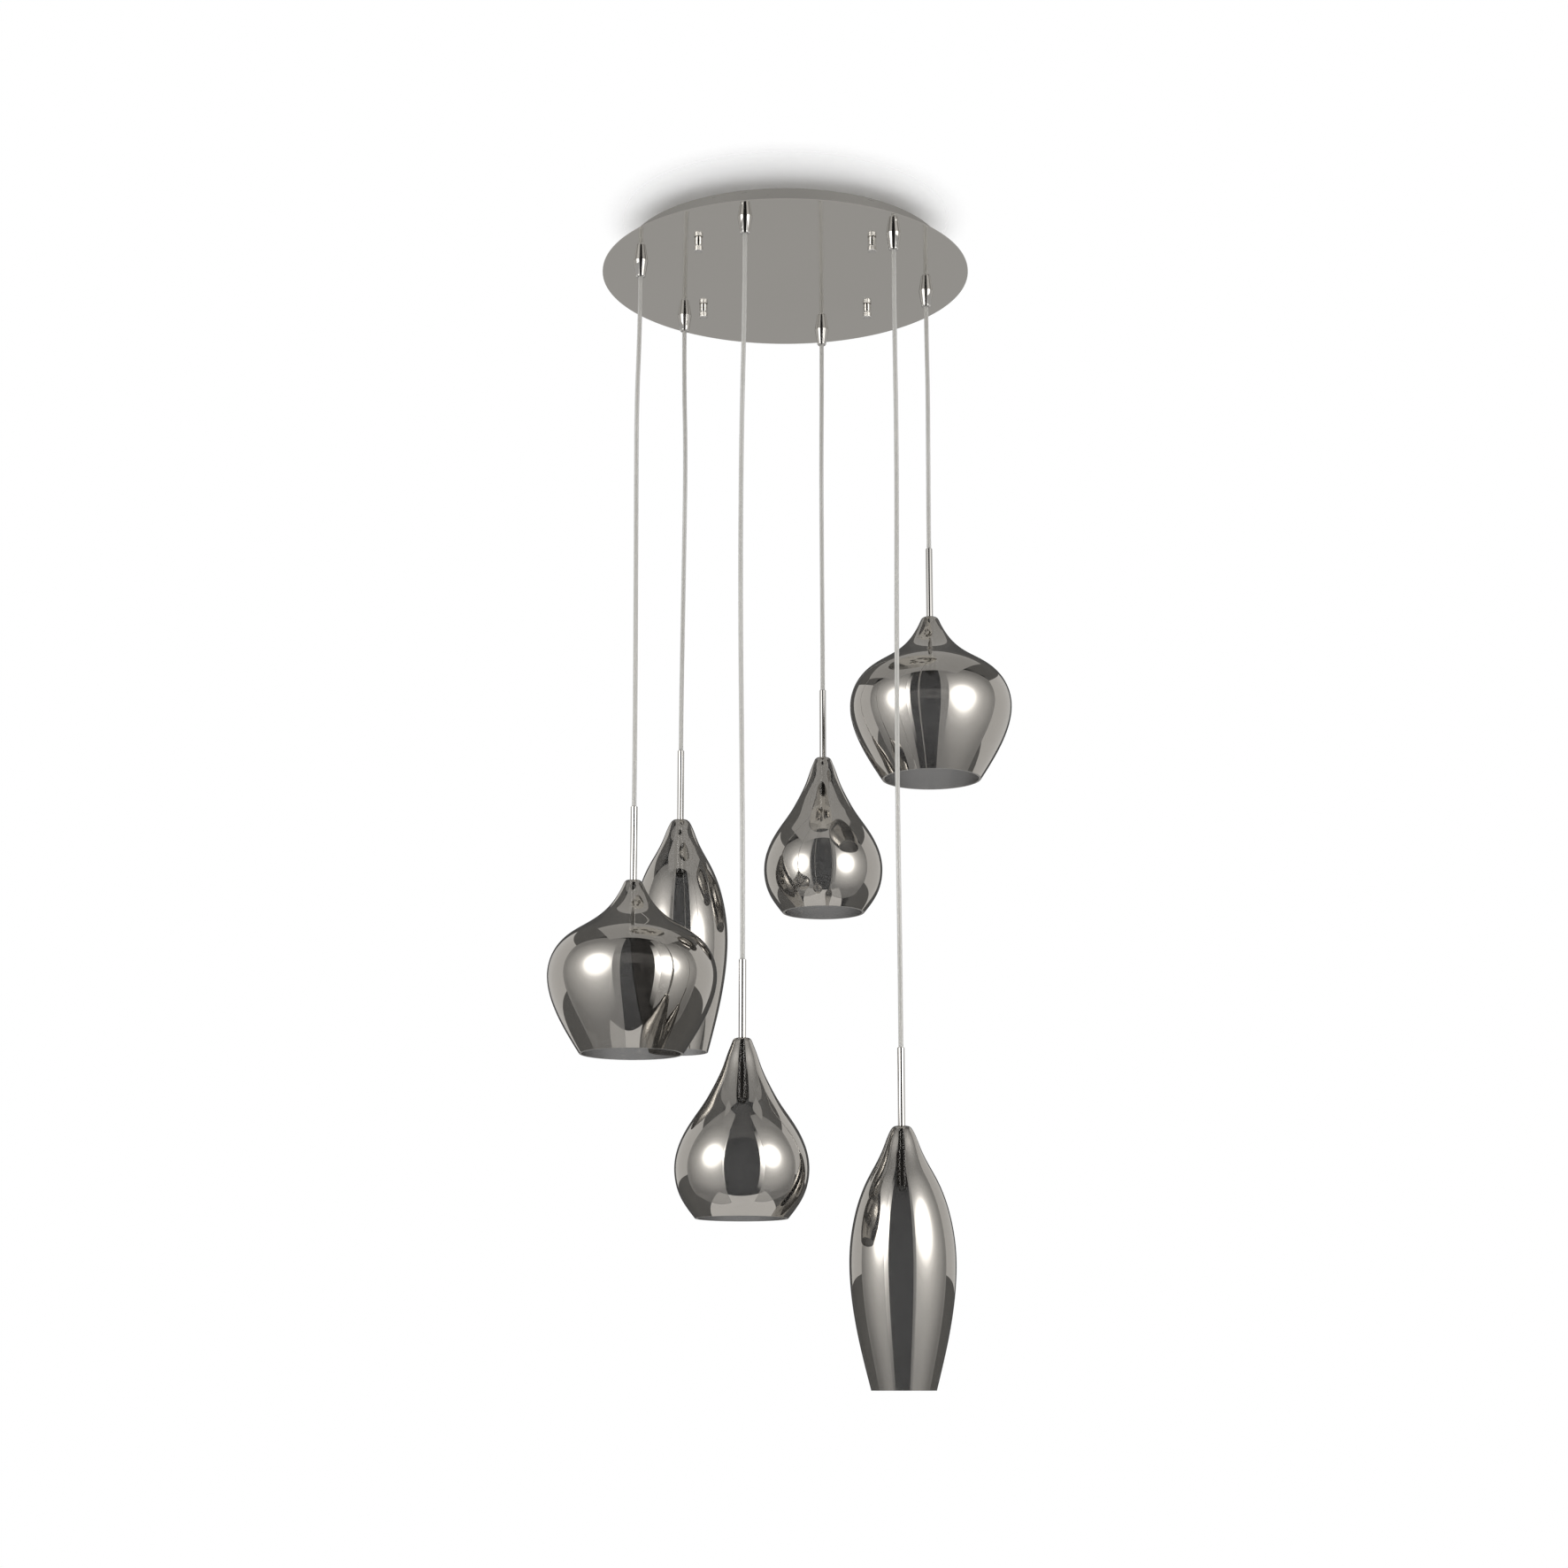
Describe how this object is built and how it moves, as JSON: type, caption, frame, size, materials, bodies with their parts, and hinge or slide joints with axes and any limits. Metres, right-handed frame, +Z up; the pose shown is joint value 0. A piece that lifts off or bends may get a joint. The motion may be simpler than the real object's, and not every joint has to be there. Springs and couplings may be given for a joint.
{
  "type": "cluster pendant lamp",
  "caption": "Ceiling lamp: round mirror canopy, chrome cord grips, clear cords and chrome stems that carry smoked glass shades of three shapes.",
  "frame": {"origin": "centre of the canopy on the ceiling plane, which is the centre of the bracket's ceiling screws", "axes": "+Z up, against the ceiling; the lamp hangs towards -Z; -Y faces the viewer of the picture and +X is to that viewer's right"},
  "size_m": [0.608, 0.5544, 1.524],
  "materials": {
    "mirror_steel": "polished",
    "chrome": "polished",
    "zinc_steel": "satin",
    "white_plastic": "matte",
    "ceramic": "matte",
    "clear_cord": "gloss",
    "smoked_glass": "polished",
    "bulb_glass": "polished"
  },
  "bodies": {
    "canopy": {"ceiling_bracket": "zinc_steel", "bracket_studs": "zinc_steel", "stud_nuts": "zinc_steel", "cap_nuts": "chrome", "canopy_pan": "chrome", "canopy_plate": "mirror_steel", "lamp_driver": "white_plastic", "terminal_block": "white_plastic", "cord_grip_1": "chrome", "cord_grip_2": "chrome", "cord_grip_3": "chrome", "cord_grip_4": "chrome", "cord_grip_5": "chrome", "cord_grip_6": "chrome", "grip_nuts": "zinc_steel", "set_screws": "zinc_steel"},
    "drop_1": {"cord_1": "clear_cord"},
    "pendant_1": {"stem_1": "chrome", "stem_nut_1": "chrome", "shade_1": "smoked_glass", "lampholder_1": "chrome", "socket_1": "ceramic", "bulb_1": "bulb_glass"},
    "drop_2": {"cord_2": "clear_cord"},
    "pendant_2": {"stem_2": "chrome", "stem_nut_2": "chrome", "shade_2": "smoked_glass", "lampholder_2": "chrome", "socket_2": "ceramic", "bulb_2": "bulb_glass"},
    "drop_3": {"cord_3": "clear_cord"},
    "pendant_3": {"stem_3": "chrome", "stem_nut_3": "chrome", "shade_3": "smoked_glass", "lampholder_3": "chrome", "socket_3": "ceramic", "bulb_3": "bulb_glass"},
    "drop_4": {"cord_4": "clear_cord"},
    "pendant_4": {"stem_4": "chrome", "stem_nut_4": "chrome", "shade_4": "smoked_glass", "lampholder_4": "chrome", "socket_4": "ceramic", "bulb_4": "bulb_glass"},
    "drop_5": {"cord_5": "clear_cord"},
    "pendant_5": {"stem_5": "chrome", "stem_nut_5": "chrome", "shade_5": "smoked_glass", "lampholder_5": "chrome", "socket_5": "ceramic", "bulb_5": "bulb_glass"},
    "drop_6": {"cord_6": "clear_cord"},
    "pendant_6": {"stem_6": "chrome", "stem_nut_6": "chrome", "shade_6": "smoked_glass", "lampholder_6": "chrome", "socket_6": "ceramic", "bulb_6": "bulb_glass"}
  },
  "joints": [
    {"name": "swing_1", "type": "hinge", "parent": "canopy", "child": "drop_1", "pos_m": [-0.1956, -0.05241, -0.0538], "axis": [-0.2588, 0.9659, 0], "range_deg": [-1.5, 20]},
    {"name": "height_1", "type": "slide", "parent": "drop_1", "child": "pendant_1", "axis": [0, 0, 1], "range_m": [0, 0.681], "deforming": ["cord_1"]},
    {"name": "swing_2", "type": "hinge", "parent": "canopy", "child": "drop_2", "pos_m": [-0.14319, 0.14319, -0.0538], "axis": [0.7071, 0.7071, 0], "range_deg": [-1.5, 20]},
    {"name": "height_2", "type": "slide", "parent": "drop_2", "child": "pendant_2", "axis": [0, 0, 1], "range_m": [0, 0.561], "deforming": ["cord_2"]},
    {"name": "swing_3", "type": "hinge", "parent": "canopy", "child": "drop_3", "pos_m": [-0.05241, -0.1956, -0.0538], "axis": [-0.9659, 0.2588, 0], "range_deg": [-1.5, 20]},
    {"name": "height_3", "type": "slide", "parent": "drop_3", "child": "pendant_3", "axis": [0, 0, 1], "range_m": [0, 0.903], "deforming": ["cord_3"]},
    {"name": "swing_4", "type": "hinge", "parent": "canopy", "child": "drop_4", "pos_m": [0.05241, 0.1956, -0.0538], "axis": [0.9659, -0.2588, 0], "range_deg": [-1.5, 20]},
    {"name": "height_4", "type": "slide", "parent": "drop_4", "child": "pendant_4", "axis": [0, 0, 1], "range_m": [0, 0.462], "deforming": ["cord_4"]},
    {"name": "swing_5", "type": "hinge", "parent": "canopy", "child": "drop_5", "pos_m": [0.14319, -0.14319, -0.0538], "axis": [-0.7071, -0.7071, 0], "range_deg": [-1.5, 20]},
    {"name": "height_5", "type": "slide", "parent": "drop_5", "child": "pendant_5", "axis": [0, 0, 1], "range_m": [0, 1.005], "deforming": ["cord_5"]},
    {"name": "swing_6", "type": "hinge", "parent": "canopy", "child": "drop_6", "pos_m": [0.1956, 0.05241, -0.0538], "axis": [0.2588, -0.9659, 0], "range_deg": [-1.5, 20]},
    {"name": "height_6", "type": "slide", "parent": "drop_6", "child": "pendant_6", "axis": [0, 0, 1], "range_m": [0, 0.3], "deforming": ["cord_6"]}
  ]
}
